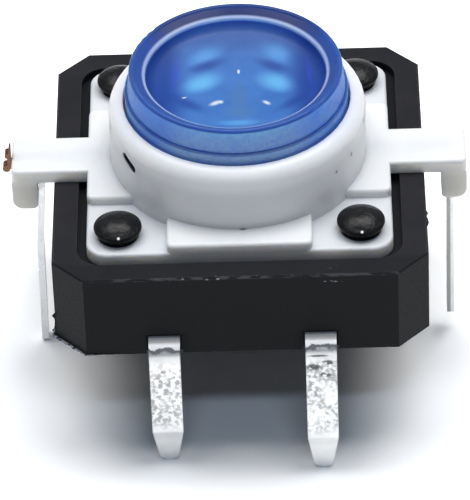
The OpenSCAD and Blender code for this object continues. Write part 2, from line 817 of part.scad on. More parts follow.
module bond_wire(path) {
    rings = [for (i = [0 : len(path) - 1]) let (w = run_way(path, i)) [for (k = [0 : wire_sides - 1])
        let (a = 360 * k / wire_sides)
            [path[i][0] - w[1] * wire_r * cos(a), wire_r * sin(a), path[i][1] + w[0] * wire_r * cos(a)]]];
    last = len(path) - 1;
    polyhedron(
        points = [for (ring = rings) each ring],
        faces = concat(
            [[for (k = [0 : wire_sides - 1]) k]],
            [for (i = [0 : last - 1], k = [0 : wire_sides - 1]) let (n = (k + 1) % wire_sides)
                [i * wire_sides + n, i * wire_sides + k, (i + 1) * wire_sides + k, (i + 1) * wire_sides + n]],
            [[for (k = [wire_sides - 1 : -1 : 0]) last * wire_sides + k]]
        )
    );
}

module led_chip() {
    color("#8fb4e8") chip_block();
}

module die_attach() {
    color("#e4e4de") attach_dot();
}

module anode_bond_wire() {
    color("#d9a441") bond_wire(anode_wire_path());
}

module cathode_bond_wire() {
    color("#d9a441") bond_wire(cathode_wire_path());
}

base_housing();
left_contact_strip();
right_contact_strip();
snap_dome();
plunger();
cover_frame();
button_cap();
led_lens();
anode_lead();
cathode_lead();
led_chip();
die_attach();
anode_bond_wire();
cathode_bond_wire();
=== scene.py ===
# %% [markdown]
# # A push switch with a lamp under its cap
# The solid model of the switch is already made: a black base, a white cover with a round collar, a blue
# see-through cap, bent legs and the small lamp inside. This lesson dresses that model. It sets the
# camera and the light first, then makes each surface as its maker left it: moulded, plated, cut or worn.

# %% Load the solid model
import math

import bmesh
import bpy
from mathutils import Matrix, Vector, noise


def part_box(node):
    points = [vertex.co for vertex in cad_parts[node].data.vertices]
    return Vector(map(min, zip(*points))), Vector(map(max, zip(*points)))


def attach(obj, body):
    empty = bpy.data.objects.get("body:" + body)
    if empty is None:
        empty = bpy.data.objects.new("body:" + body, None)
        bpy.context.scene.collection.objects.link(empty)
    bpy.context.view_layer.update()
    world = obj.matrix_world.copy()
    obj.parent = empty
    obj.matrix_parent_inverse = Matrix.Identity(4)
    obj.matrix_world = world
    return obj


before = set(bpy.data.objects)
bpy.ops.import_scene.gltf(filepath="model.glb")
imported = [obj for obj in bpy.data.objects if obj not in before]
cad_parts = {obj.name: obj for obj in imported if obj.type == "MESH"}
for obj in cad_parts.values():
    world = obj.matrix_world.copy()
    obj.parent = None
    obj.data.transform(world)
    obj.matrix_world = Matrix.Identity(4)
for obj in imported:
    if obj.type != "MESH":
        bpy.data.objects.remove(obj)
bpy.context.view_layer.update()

# %% [markdown]
# ## Sizes to work from
# The model is in metres, and the switch is only 12 mm wide, so sizes are easier to read in millimetres.
# The main heights and widths come from the solid pieces themselves: their boxes say where the board,
# the rim and the cap are, so a change in the model carries its marks and wear along with it.

# %% Sizes in millimetres
MM = 0.001


def corners_mm(node):
    """The lowest and highest corner of a solid piece, in millimetres."""
    low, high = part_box(node)
    return low / MM, high / MM


base_high = corners_mm("base_housing")[1]
cover_low, cover_high = corners_mm("cover_frame")
cap_high = corners_mm("button_cap")[1]
board_drop = corners_mm("left_contact_strip")[0].z
base_half = base_high.x
cap_top = cap_high.z
base_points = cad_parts["base_housing"].data.vertices
rim_top = max(point.co.z for point in base_points if abs(point.co.x) > 0.95 * base_half * MM) / MM
print("rim top", round(rim_top, 2), "post top", round(base_high.z, 2), "cap top", round(cap_top, 2))

# %% [markdown]
# ## The camera
# A small part is photographed from far away with a long lens, so its upright edges stay almost
# parallel. The camera's place was worked out from the base, whose corners are a known 12 mm apart: it
# stands 161 mm away, a little to the right, looks down 39 degrees and leans about 2 degrees. The three
# directions of such a camera are easy to build: "back" points from the switch to the camera, "right"
# lies flat, and "up" is square to both. The lean then turns right and up about back.

# %% Set the camera
PICTURE_WIDTH, PICTURE_HEIGHT = 470, 500
SENSOR_MM = 36
FOCAL_PIXELS = 4899
TURN, HEIGHT_ANGLE, LEAN = (math.radians(a) for a in (1.09, 39.07, -2.24))
DISTANCE_MM, ASIDE_MM, ABOVE_MM = 161.4, 0.22, 0.55

back = Vector((
    math.sin(TURN) * math.cos(HEIGHT_ANGLE), -math.cos(TURN) * math.cos(HEIGHT_ANGLE), math.sin(HEIGHT_ANGLE)
))
flat_right = Vector((math.cos(TURN), math.sin(TURN), 0))
steep_up = back.cross(flat_right)
right = flat_right * math.cos(LEAN) + steep_up * math.sin(LEAN)
up = steep_up * math.cos(LEAN) - flat_right * math.sin(LEAN)

camera = bpy.data.objects.new("camera", bpy.data.cameras.new("camera"))
bpy.context.scene.collection.objects.link(camera)
camera.data.sensor_width = SENSOR_MM
camera.data.lens = FOCAL_PIXELS * SENSOR_MM / max(PICTURE_WIDTH, PICTURE_HEIGHT)
camera.data.clip_start, camera.data.clip_end = 0.01, 20
place = (back * DISTANCE_MM - right * ASIDE_MM - up * ABOVE_MM) * MM
camera.matrix_world = Matrix((
    (right.x, up.x, back.x, place.x), (right.y, up.y, back.y, place.y),
    (right.z, up.z, back.z, place.z), (0, 0, 0, 1)
))
bpy.context.scene.camera = camera
bpy.context.scene.view_settings.view_transform = "Standard"
print("lens", round(camera.data.lens, 1), "mm, camera at", [round(c / MM, 1) for c in place])

# %% [markdown]
# ## Short words for building materials
# A material in Blender is a small network: nodes make values, and links carry them on. Written out in
# full, each link takes a line and the idea is lost. The few helpers here take a number or another
# node's output alike, so that a mask can be written almost as a formula.

# %% Nodes and links


def feed(tree, socket, value):
    """Links an output into a socket, or sets the socket when value is a plain number or colour."""
    if isinstance(value, bpy.types.NodeSocket):
        tree.links.new(value, socket)
    else:
        socket.default_value = value


def add_node(tree, kind, inputs=None, **settings):
    """A new node with its settings and its inputs, which are named or numbered as Blender lists them."""
    node = tree.nodes.new(kind)
    for name, value in settings.items():
        setattr(node, name, value)
    for name, value in (inputs or {}).items():
        feed(tree, node.inputs[name], value)
    return node


print("words so far: feed, add_node")

# %% [markdown]
# A mask is a number from 0 to 1 at each point of a surface. Masks are made with "rise", joined with
# arithmetic, and then used to lay one colour over another, as a painter lays coats.

# %% Masks and coats of colour


def sum_up(tree, operation, first, second=0.0):
    """One step of arithmetic between numbers or masks."""
    inputs = {0: first} if operation in ("ABSOLUTE", "SQRT") else {0: first, 1: second}
    return add_node(tree, "ShaderNodeMath", inputs, operation=operation).outputs[0]


def times(tree, *masks):
    """All the masks multiplied together."""
    product = masks[0]
    for mask in masks[1:]:
        product = sum_up(tree, "MULTIPLY", product, mask)
    return product


def rise(tree, value, start, end, low=0.0, high=1.0):
    """Goes smoothly from low to high while value goes from start to end."""
    inputs = {0: value, 1: start, 2: end, 3: low, 4: high}
    return add_node(tree, "ShaderNodeMapRange", inputs, interpolation_type="SMOOTHSTEP").outputs[0]


def blend(tree, mask, under, over):
    """The colour under, with the colour over laid on it where the mask is 1."""
    node = add_node(tree, "ShaderNodeMix", data_type="RGBA")
    for number, value in ((0, mask), (6, under), (7, over)):
        feed(tree, node.inputs[number], value)
    return node.outputs[2]


def coats(tree, under, *layers):
    """The colour under, with each (mask, colour) laid on in turn."""
    for mask, colour in layers:
        under = blend(tree, mask, under, colour)
    return under


def bump(tree, height, reach_mm, strength=1.0):
    """A surface normal for a height from 0 to 1 that stands for reach_mm millimetres."""
    inputs = {"Height": height, "Distance": reach_mm * MM, "Strength": strength}
    return add_node(tree, "ShaderNodeBump", inputs).outputs["Normal"]


print("words for masks: sum_up, times, rise, blend, coats, bump")

# %% [markdown]
# A node group is a small network with named sockets that can be put into any material. The last helpers
# make and place groups, start a material, and put it on pieces of the model.

# %% Groups and materials


def new_group(title, inputs, outputs):
    """An empty node group with named inputs and outputs: (group, its input node, its output node)."""
    group = bpy.data.node_groups.new(title, "ShaderNodeTree")
    for name, kind, start in inputs:
        socket = group.interface.new_socket(name, in_out="INPUT", socket_type="NodeSocket" + kind)
        socket.default_value = start
    for name, kind in outputs:
        group.interface.new_socket(name, in_out="OUTPUT", socket_type="NodeSocket" + kind)
    return group, group.nodes.new("NodeGroupInput").outputs, group.nodes.new("NodeGroupOutput").inputs


def use_group(tree, group, inputs=None):
    """A node group placed in a material, with its inputs filled in."""
    return add_node(tree, "ShaderNodeGroup", inputs, node_tree=group)


def new_material(name, **plain_values):
    """A material with its surface shader. plain_values are numbers set on the shader's own sockets."""
    material = bpy.data.materials.new(name)
    material.use_nodes = True
    shader = material.node_tree.nodes["Principled BSDF"]
    for socket, value in plain_values.items():
        shader.inputs[socket.replace("_", " ").title().replace("Ior", "IOR")].default_value = value
    return material, material.node_tree, shader.inputs


def dress(material, *nodes):
    """Puts a material on solid pieces of the model."""
    for name in nodes:
        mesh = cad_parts[name].data
        mesh.materials.clear()
        mesh.materials.append(material)
    print(material.name, "on", ", ".join(nodes))


print("words for materials: new_group, use_group, new_material, dress")

# %% [markdown]
# ## The floor and the light
# The switch stands on its legs on a white sheet. In the photograph the sheet is pure white, but the
# shadow between the legs is nearly black, so the white can't come from a strong light from everywhere.
# The sheet's own colour does it. The camera sees a sheet slightly brighter than real paper, and so does
# a ray off a gloss or through the cap; the light that the sheet throws back onto the switch is that of
# ordinary paper. The room is treated alike: white to look at, and weak for the light that it gives.

# %% Colours of the paper and the room
PAPER_SEEN = (1.24, 1.26, 1.29, 1)
PAPER_IN_GLOSS = (1.03, 1.05, 1.07, 1)
PAPER_BOUNCED = (0.88, 0.89, 0.92, 1)
ROOM_COLOUR = (0.9, 0.96, 1.05, 1)
ROOM_SEEN = 1.0
ROOM_IN_GLOSS = 0.35
ROOM_LIGHT = 0.045


def seen_directly(tree):
    """Two masks: 1 for rays off a gloss or through the cap, and 1 for rays from the camera."""
    path = add_node(tree, "ShaderNodeLightPath").outputs
    in_gloss = sum_up(tree, "MAXIMUM", path["Is Glossy Ray"], path["Is Transmission Ray"])
    return in_gloss, path["Is Camera Ray"]


print("paper seen", PAPER_SEEN[:3], "and bounced", PAPER_BOUNCED[:3])

# %% [markdown]
# The sheet of paper is one large square that the leg tips stand on. It has a faint tooth and no gloss,
# so its surface is a plain diffuse one. The floor is a stage for the switch and no piece of it.

# %% Floor
FLOOR_HALF = 0.6
TOOTH_SCALE = 900.0

paper = bpy.data.materials.new("paper")
paper.use_nodes = True
tree = paper.node_tree
tree.nodes.clear()
tooth = add_node(tree, "ShaderNodeTexNoise", {"Scale": TOOTH_SCALE, "Detail": 2.0}).outputs["Fac"]
in_gloss, by_camera = seen_directly(tree)
white_of_paper = coats(tree, PAPER_BOUNCED, (in_gloss, PAPER_IN_GLOSS), (by_camera, PAPER_SEEN))
inputs = {"Color": white_of_paper, "Normal": bump(tree, tooth, 0.01, 0.1)}
surface = add_node(tree, "ShaderNodeBsdfDiffuse", inputs).outputs[0]
add_node(tree, "ShaderNodeOutputMaterial", {"Surface": surface})

floor_mesh = bpy.data.meshes.new("floor")
ways = ((-1, -1), (1, -1), (1, 1), (-1, 1))
floor_corners = [(x * FLOOR_HALF, y * FLOOR_HALF, board_drop * MM) for x, y in ways]
floor_mesh.from_pydata(floor_corners, [], [(0, 1, 2, 3)])
floor_mesh.materials.append(paper)
floor = bpy.data.objects.new("floor", floor_mesh)
bpy.context.scene.collection.objects.link(floor)
print("floor at", round(board_drop, 2), "mm")

# %% [markdown]
# The room is the background that surrounds everything. Only its strength differs between a camera ray,
# a ray off a gloss and the light that it gives.

# %% Room
world = bpy.data.worlds.new("room")
bpy.context.scene.world = world
world.use_nodes = True
tree = world.node_tree
background = tree.nodes["Background"].inputs
in_gloss, by_camera = seen_directly(tree)
not_seen = rise(tree, in_gloss, 0.0, 1.0, ROOM_LIGHT, ROOM_IN_GLOSS)
feed(tree, background["Color"], ROOM_COLOUR)
feed(tree, background["Strength"], rise(tree, by_camera, 0.0, 1.0, not_seen, ROOM_SEEN))
print("room light", ROOM_LIGHT)

# %% [markdown]
# The shadow on the paper tells where the light comes from. It has a nearly black core under the base,
# where both lamps are hidden, and a soft edge that spreads forward: so two wide soft lamps hang above
# and a little behind, one on each side, and the right one is the stronger. A narrow, cooler strip in
# front adds little light. It makes the small crisp highlights on the post heads and lifts the front.

# %% Lamps
SOFT_LIGHT_ASIDE = 0.0725
SOFT_LIGHT_BEHIND = 0.0465
SOFT_LIGHT_HEIGHT = 0.2345
SOFT_LIGHT_SIZE = (0.142, 0.16)
SOFT_LIGHT_COLOUR = (1, 0.99, 0.97)
LEFT_WATTS = 0.37
RIGHT_WATTS = 0.47
STRIP_ASIDE = 0.01
STRIP_DISTANCE = 0.25
STRIP_ANGLE = math.radians(57)
STRIP_SIZE = (0.1, 0.02)
STRIP_COLOUR = (0.66, 0.8, 1)
STRIP_WATTS = 0.075


def hang_lamp(name, position, size, watts, colour):
    """A rectangular lamp that faces the switch. It lights and reflects, but the camera doesn't see it."""
    data = bpy.data.lights.new(name, "AREA")
    data.shape = "RECTANGLE"
    data.size, data.size_y = size
    data.energy = watts
    data.color = colour
    lamp = bpy.data.objects.new(name, data)
    bpy.context.scene.collection.objects.link(lamp)
    lamp.location = position
    lamp.rotation_mode = "QUATERNION"
    lamp.rotation_quaternion = (-position).to_track_quat("-Z", "Y")
    lamp.visible_camera = False
    print(name, "at", [round(c / MM) for c in position], "mm,", watts, "W")


for name, side, watts in (("soft_left", -1, LEFT_WATTS), ("soft_right", 1, RIGHT_WATTS)):
    position = Vector((side * SOFT_LIGHT_ASIDE, SOFT_LIGHT_BEHIND, SOFT_LIGHT_HEIGHT))
    hang_lamp(name, position, SOFT_LIGHT_SIZE, watts, SOFT_LIGHT_COLOUR)
strip_behind, strip_height = -math.cos(STRIP_ANGLE) * STRIP_DISTANCE, math.sin(STRIP_ANGLE) * STRIP_DISTANCE
position = Vector((STRIP_ASIDE, strip_behind, strip_height))
hang_lamp("front_strip", position, STRIP_SIZE, STRIP_WATTS, STRIP_COLOUR)

# %% [markdown]
# ## Effects that several materials share
# Plastic, tin and resin differ, but the same few things happen to all of them. Each is made once as a
# node group: where a point lies on the part, the fine grain that a mould leaves, the line of an edge,
# specks, and a single mark at one place. A material puts in its own sizes and gets masks back.
#
# Where a point lies comes from object coordinates. They stay with the piece when the button moves, and
# in millimetres the numbers are the same as on a drawing.

# %% Group: place on the part
place_group, _, made = new_group(
    "place_on_part", [],
    [("Place", "Vector"), ("X", "Float"), ("Y", "Float"), ("Z", "Float"), ("From Axis", "Float")]
)
metres = add_node(place_group, "ShaderNodeTexCoord").outputs["Object"]
inputs = {0: metres, "Scale": 1 / MM}
millimetres = add_node(place_group, "ShaderNodeVectorMath", inputs, operation="SCALE").outputs[0]
axes = add_node(place_group, "ShaderNodeSeparateXYZ", {0: millimetres}).outputs
across_x, across_y = (times(place_group, axes[axis], axes[axis]) for axis in "XY")
feed(place_group, made["Place"], millimetres)
for axis in "XYZ":
    feed(place_group, made[axis], axes[axis])
squares = sum_up(place_group, "ADD", across_x, across_y)
feed(place_group, made["From Axis"], sum_up(place_group, "SQRT", squares))
print(place_group.name, "gives", [s.name for s in made if s.name])

# %% [markdown]
# Moulded plastic is never quite even. A fine grain comes from the steel of the mould, and a broad,
# cloudy unevenness from the way the hot plastic flowed. Two noises at different scales give both.

# %% Group: moulded grain
grain_group, given, made = new_group(
    "moulded_grain",
    [("Place", "Vector", (0, 0, 0)), ("Grains per mm", "Float", 12.0), ("Clouds per mm", "Float", 0.5)],
    [("Grain", "Float"), ("Cloud", "Float")]
)
for output, per_mm, detail in (("Grain", "Grains per mm", 3.0), ("Cloud", "Clouds per mm", 2.0)):
    inputs = {"Vector": given["Place"], "Scale": given[per_mm], "Detail": detail}
    feed(grain_group, made[output], add_node(grain_group, "ShaderNodeTexNoise", inputs).outputs["Fac"])
print(grain_group.name, "ready")

# %% [markdown]
# Edges look different from the flats beside them: on the black plastic they are rubbed pale, and on the
# tin they get painted shade. The Bevel node gives the normal that a rounded edge would have. Where it
# differs from the true normal there is an edge.

# %% Group: line of an edge
edge_group, given, made = new_group("edge_line", [("Width mm", "Float", 0.08)], [("Edge", "Float")])
width = sum_up(edge_group, "MULTIPLY", given["Width mm"], MM)
rounded = add_node(edge_group, "ShaderNodeBevel", {"Radius": width}, samples=6).outputs[0]
inputs = {0: rounded, 1: add_node(edge_group, "ShaderNodeNewGeometry").outputs["Normal"]}
likeness = add_node(edge_group, "ShaderNodeVectorMath", inputs, operation="DOT_PRODUCT").outputs["Value"]
feed(edge_group, made["Edge"], rise(edge_group, likeness, 0.995, 0.85))
print(edge_group.name, "ready")

# %% [markdown]
# Specks are small separate spots: dust pressed into white plastic, pale bits on a worn edge. A cell
# pattern scatters points, each cell has a random shade of its own, and only the cells under a chosen
# share keep a spot.

# %% Group: specks
speck_group, given, made = new_group(
    "specks",
    [("Place", "Vector", (0, 0, 0)), ("Cells per mm", "Float", 3.0), ("Share", "Float", 0.2),
     ("Size", "Float", 0.25)],
    [("Specks", "Float")]
)
inputs = {"Vector": given["Place"], "Scale": given["Cells per mm"]}
cells = add_node(speck_group, "ShaderNodeTexVoronoi", inputs).outputs
shade = add_node(speck_group, "ShaderNodeSeparateColor", {0: cells["Color"]}).outputs
chosen = sum_up(speck_group, "LESS_THAN", shade["Red"], given["Share"])
reach = times(speck_group, given["Size"], rise(speck_group, shade["Green"], 0.0, 1.0, 0.4, 1.0))
spots = rise(speck_group, cells["Distance"], reach, times(speck_group, reach, 0.6))
feed(speck_group, made["Specks"], times(speck_group, chosen, spots))
print(speck_group.name, "ready")

# %% [markdown]
# A single mark, such as a scuff or a bright patch, has a place, a reach along each axis, a soft edge and
# a turn about the upright axis, so that it can also lie aslant.

# %% Group: mark at a place
mark_group, given, made = new_group(
    "mark_at_place",
    [("Place", "Vector", (0, 0, 0)), ("Centre", "Vector", (0, 0, 0)), ("Reach", "Vector", (1, 1, 1)),
     ("Solid Part", "Float", 0.5), ("Turn", "Float", 0.0)],
    [("Mark", "Float")]
)
inputs = {0: given["Place"], 1: given["Centre"]}
away = add_node(mark_group, "ShaderNodeVectorMath", inputs, operation="SUBTRACT").outputs[0]
inputs = {"Vector": away, "Angle": sum_up(mark_group, "MULTIPLY", given["Turn"], -1.0)}
turned = add_node(mark_group, "ShaderNodeVectorRotate", inputs, rotation_type="Z_AXIS").outputs[0]
inputs = {0: turned, 1: given["Reach"]}
scaled = add_node(mark_group, "ShaderNodeVectorMath", inputs, operation="DIVIDE").outputs[0]
far = add_node(mark_group, "ShaderNodeVectorMath", {0: scaled}, operation="LENGTH").outputs["Value"]
feed(mark_group, made["Mark"], rise(mark_group, far, 1.0, given["Solid Part"]))
print(mark_group.name, "ready")

# %% [markdown]
# With the groups made, a material can start from a few short words: where a point lies and the grain
# there, a mask for a list of marks, specks of a size, the line of an edge, and a noise that may be
# stretched along an axis.

# %% Masks from the groups


def read_part(tree, grains_per_mm, clouds_per_mm):
    """Where a point lies on the part, and the moulded grain there, each as named outputs."""
    spot = use_group(tree, place_group).outputs
    inputs = {"Place": spot["Place"], "Grains per mm": grains_per_mm, "Clouds per mm": clouds_per_mm}
    return spot, use_group(tree, grain_group, inputs).outputs


def marks(tree, spot, spots):
    """One mask for several marks, each (centre, reach, solid part, degrees of turn) in millimetres."""
    mask = 0.0
    for centre, reach, solid_part, *turn in spots:
        inputs = {"Place": spot["Place"], "Centre": centre, "Reach": reach, "Solid Part": solid_part}
        if turn:
            inputs["Turn"] = math.radians(turn[0])
        mask = sum_up(tree, "MAXIMUM", use_group(tree, mark_group, inputs).outputs["Mark"], mask)
    return mask


def specks(tree, spot, cells_per_mm, share, size):
    """A mask of small separate spots."""
    inputs = {"Place": spot["Place"], "Cells per mm": cells_per_mm, "Share": share, "Size": size}
    return use_group(tree, speck_group, inputs).outputs["Specks"]


def edge_line(tree, width_mm):
    """A mask along every sharp edge."""
    return use_group(tree, edge_group, {"Width mm": width_mm}).outputs["Edge"]


def noise_on(tree, spot, per_mm, detail):
    """A noise over the part. per_mm is a number, or three of them for a noise stretched along an axis."""
    place = spot["Place"]
    if isinstance(per_mm, tuple):
        place = add_node(tree, "ShaderNodeVectorMath", {0: place, 1: per_mm}, operation="MULTIPLY").outputs[0]
        per_mm = 1.0
    inputs = {"Vector": place, "Scale": per_mm, "Detail": detail}
    return add_node(tree, "ShaderNodeTexNoise", inputs).outputs["Fac"]


def distance(tree, value, middle=0.0):
    """How far a value is from a middle one, on either side."""
    return sum_up(tree, "ABSOLUTE", sum_up(tree, "SUBTRACT", value, middle))


print("words for the part: read_part, marks, specks, edge_line, noise_on, distance")

# %% [markdown]
# ## Black base
# The base is a dull black moulding. Its sides and the front of its top are painted darker, as shade, and
# the rest of its top is a little greyer where it catches the light. Its front top edge is worn, with faint
# grey dashes and a few pale specks. The four post heads were melted by a hot tool, and that leaves them
# glossy and uneven, so above the rim the same plastic turns smooth; the two front heads get a painted
# white glint at their front edge. The marks' places were read off the photograph, in millimetres.

# %% Black plastic: colours and marks
BLACK_TOP = (0.0125, 0.0128, 0.0155, 1)
BLACK_CLOUD = (0.0165, 0.0165, 0.0195, 1)
BLACK_SHADE = (0.0068, 0.0079, 0.0098, 1)
BLACK_MELTED = (0.006, 0.0062, 0.0072, 1)
EDGE_GREY = (0.035, 0.036, 0.04, 1)
DASH_GREY = (0.085, 0.087, 0.095, 1)
WORN_PALE = (0.3, 0.31, 0.33, 1)
HEAD_GLINT_WHITE = (0.9, 0.9, 0.92, 1)
FLASH_LIT_PALE = (0.5, 0.54, 0.62, 1)
CORNER_CUT = 1
POST_AT = 3.88
FRONT = -base_half

worn_places = [
    ((-0.8, FRONT, rim_top), (0.8, 0.12, 0.1), 0.6),
    ((-2.68, FRONT, rim_top), (0.08, 0.06, 0.05), 0.5),
    ((2.93, FRONT, rim_top - 0.26), (0.45, 0.05, 0.04), 0.5),
    ((-1.9, FRONT, rim_top), (0.5, 0.1, 0.06), 0.5),
    ((0.6, FRONT, rim_top), (0.5, 0.1, 0.06), 0.5),
    ((2.97, FRONT + 0.4, rim_top), (0.16, 0.1, 0.05), 0.4, 25),
    ((4.75, FRONT + 0.08, rim_top), (0.07, 0.05, 0.05), 0.4),
]
# painted white glints, highlights at the front edge of the two front post heads
head_glints = [
    ((-3.84, -4.60, 3.62), (0.06, 0.1, 0.05), 0.4),
    ((3.90, -4.60, 3.62), (0.06, 0.1, 0.045), 0.4),
]
print(len(worn_places), "worn places,", len(head_glints), "painted_glints on the post heads")

# %% [markdown]
# Each shade lies where a mask says. The sides and the front of the top get the darkest painted shade.
# The heads start just above the rim, and their crowns are the glossiest part. The dashes keep to the
# front top edge, where a noise stretched along the edge breaks their line.

# %% Black plastic: top, heads and worn edge
black_plastic, tree, sockets = new_material("black_plastic", specular_ior_level=0.12, coat_roughness=0.2)
spot, grain = read_part(tree, grains_per_mm=14.0, clouds_per_mm=0.7)
below_top = rise(tree, spot["Z"], rim_top - 0.03, rim_top - 0.08)
front_of_top = times(tree, rise(tree, spot["Y"], FRONT + 1.0, FRONT + 0.7), 0.7)
# painted shade on the sides and on the front of the top
shaded_part = sum_up(tree, "MAXIMUM", below_top, front_of_top)

across = [distance(tree, spot[axis]) for axis in "XY"]
from_post = [sum_up(tree, "SUBTRACT", value, POST_AT) for value in across]
squares = sum_up(tree, "ADD", *(times(tree, value, value) for value in from_post))
crown = rise(tree, sum_up(tree, "SQRT", squares), 0.66, 0.45)
melted = rise(tree, spot["Z"], rim_top + 0.1, rim_top + 0.2)

at_front = rise(tree, spot["Y"], FRONT + 0.09, FRONT + 0.05)
at_top = rise(tree, spot["Z"], rim_top - 0.09, rim_top - 0.04)
broken = rise(tree, noise_on(tree, spot, (2.2, 9.0, 9.0), 3.0), 0.44, 0.58)
dashes = times(tree, at_front, at_top, broken, rise(tree, spot["X"], -4.6, -3.4, 0.15, 0.6))
pale_specks = specks(tree, spot, cells_per_mm=7.0, share=0.75, size=0.55)
worn = times(tree, marks(tree, spot, worn_places), pale_specks)
print("black plastic has", len(tree.nodes), "nodes so far")

# %% [markdown]
# At the foot of the base there is a film of flash, made in the next step. It is so thin that light shows
# through it, so it gets a painted pale glow, and a last mask finds the plastic that lies past the base's
# outline, low down. The outline is a square with its corners cut at 45 degrees, and a point's distance
# past it is the larger of two.

# %% Black plastic: colour and skin
past_side = sum_up(tree, "SUBTRACT", sum_up(tree, "MAXIMUM", *across), base_half)
past_cut = sum_up(tree, "SUBTRACT", sum_up(tree, "ADD", *across), 2 * base_half - CORNER_CUT)
past_outline = sum_up(tree, "MAXIMUM", past_side, times(tree, past_cut, math.sqrt(0.5)))
lip = times(
    tree, rise(tree, past_outline, 0.015, 0.05), rise(tree, spot["Z"], 0.1, 0.06),
    rise(tree, grain["Grain"], 0.4, 0.55)
)
black = coats(
    tree, BLACK_TOP,
    (rise(tree, grain["Cloud"], 0.35, 0.7), BLACK_CLOUD),
    # painted shade on the sides and the front of the top
    (shaded_part, BLACK_SHADE),
    (melted, BLACK_MELTED),
    (times(tree, edge_line(tree, 0.05), 0.6), EDGE_GREY),
    (dashes, DASH_GREY),
    # painted pale glow: light showing through the thin flash
    (times(tree, lip, 0.8), FLASH_LIT_PALE),
    # painted glints on the front post heads
    (marks(tree, spot, head_glints), HEAD_GLINT_WHITE),
    (times(tree, worn, 0.8), WORN_PALE),
)
dull = rise(tree, grain["Grain"], 0.3, 0.7, 0.42, 0.56)
fine_grain = times(tree, grain["Grain"], rise(tree, melted, 1.0, 0.0), 0.12)
lumps = times(tree, noise_on(tree, spot, 3.2, 3.0), melted, 2.0)
feed(tree, sockets["Base Color"], black)
feed(tree, sockets["Roughness"], rise(tree, melted, 0.0, 1.0, dull, 0.35))
feed(tree, sockets["Coat Weight"], times(tree, melted, rise(tree, crown, 0.0, 1.0, 0.04, 0.15)))
feed(tree, sockets["Normal"], bump(tree, sum_up(tree, "ADD", fine_grain, lumps), 0.1, 0.35))
dress(black_plastic, "base_housing")

# %% [markdown]
# ## Flash
# Where the two halves of the mould meet, a thin ragged film of plastic is squeezed out, called flash. The
# front left corner has a strip of it along its foot and a little up its edge, and the right rim has two
# small bumps. It is too thin and uneven for the solid model, so it is made here. Each strip follows
# points along the base, and each point has a place, the way outward and a width, in millimetres.

# %% Where the flash runs
FOOT_SEAM = 0.03
RIM_SEAM = rim_top - 0.08
CUT_END = base_half - CORNER_CUT
CUT_MIDDLE = base_half - CORNER_CUT / 2
LEFT, ASLANT_LEFT, ASLANT, ASLANT_FRONT = (-1, 0), (-1, -0.4), (-0.7, -0.7), (-0.4, -1)
FORWARD, RIGHT = (0, -1), (1, 0)

flash_strips = {
    "corner_flash": dict(upright=(0, 0, 1), points=[
        ((-base_half, -4.3, FOOT_SEAM), LEFT, 0.0),
        ((-base_half, -4.6, FOOT_SEAM), LEFT, 0.1),
        ((-base_half, -CUT_END, FOOT_SEAM), ASLANT_LEFT, 0.15),
        ((-CUT_MIDDLE, -CUT_MIDDLE, FOOT_SEAM), ASLANT, 0.11),
        ((-CUT_END, -base_half, FOOT_SEAM), ASLANT_FRONT, 0.07),
        ((-4.3, -base_half, FOOT_SEAM), FORWARD, 0.05),
        ((-3.4, -base_half, FOOT_SEAM), FORWARD, 0.0),
    ]),
    "edge_flash": dict(upright=(0.7, -0.7, 0), points=[
        ((-base_half, -CUT_END, height), ASLANT_LEFT, width)
        for height, width in ((0.05, 0.06), (0.6, 0.02), (0.74, 0.02), (0.86, 0.11), (1.0, 0.0))
    ]),
    "rim_flash": dict(upright=(0, 0, 1), points=[
        ((base_half, -y, RIM_SEAM), RIGHT, width)
        for y, width in ((2.75, 0.0), (2.9, 0.06), (3.05, 0.0), (3.2, 0.04), (3.4, 0.06), (3.62, 0.0))
    ]),
}
print("strips of flash:", ", ".join(flash_strips))

# %% [markdown]
# Between two points the strip is built ring by ring. A ring is a triangle: two corners sunk a hair into
# the base and one at the lip. A noise makes the width ragged. The rings are joined by faces, both ends
# are closed, and the piece rides with the base.

# %% Make the flash
RINGS_PER_MM = 24
FOOT_HALF = 0.03
SUNK = 0.01
THINNEST = 0.004
RAGGED = 0.45
RAGGED_SCALE = 9


def rings_along(points):
    """A place, the way outward and a ragged width at even steps along the points."""
    for (start, out_a, width_a), (end, out_b, width_b) in zip(points, points[1:]):
        start, end = Vector(start), Vector(end)
        steps = max(2, round((end - start).length * RINGS_PER_MM))
        for share in (step / steps for step in range(steps)):
            place = start.lerp(end, share)
            outward = Vector((*out_a, 0)).lerp(Vector((*out_b, 0)), share).normalized()
            ragged = 1 + RAGGED * noise.noise(place * RAGGED_SCALE)
            yield place, outward, max(THINNEST, (width_a + (width_b - width_a) * share) * ragged)


def make_flash(name, upright, points):
    """A ragged wedge along the points, as a piece of black plastic that rides with the body."""
    upright = Vector(upright).normalized() * FOOT_HALF
    vertices, faces = [], []
    for place, outward, width in rings_along(points):
        foot = place - outward * SUNK
        vertices += [(foot - upright) * MM, (foot + upright) * MM, (place + outward * width) * MM]
    rings = len(vertices) // 3
    for first in range(0, 3 * (rings - 1), 3):
        for a, b in ((first, first + 1), (first + 1, first + 2), (first + 2, first)):
            faces.append((a, b, b + 3, a + 3))
    last = 3 * (rings - 1)
    faces += [(2, 1, 0), (last, last + 1, last + 2)]

    mesh = bpy.data.meshes.new(name)
    mesh.from_pydata(vertices, [], faces)
    shape = bmesh.new()
    shape.from_mesh(mesh)
    bmesh.ops.recalc_face_normals(shape, faces=shape.faces)
    shape.to_mesh(mesh)
    shape.free()
    mesh.materials.append(black_plastic)
    piece = bpy.data.objects.new(name, mesh)
    bpy.context.scene.collection.objects.link(piece)
    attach(piece, "switch_body")
    print(name, "has", rings, "rings")


for name, strip in flash_strips.items():
    make_flash(name, **strip)
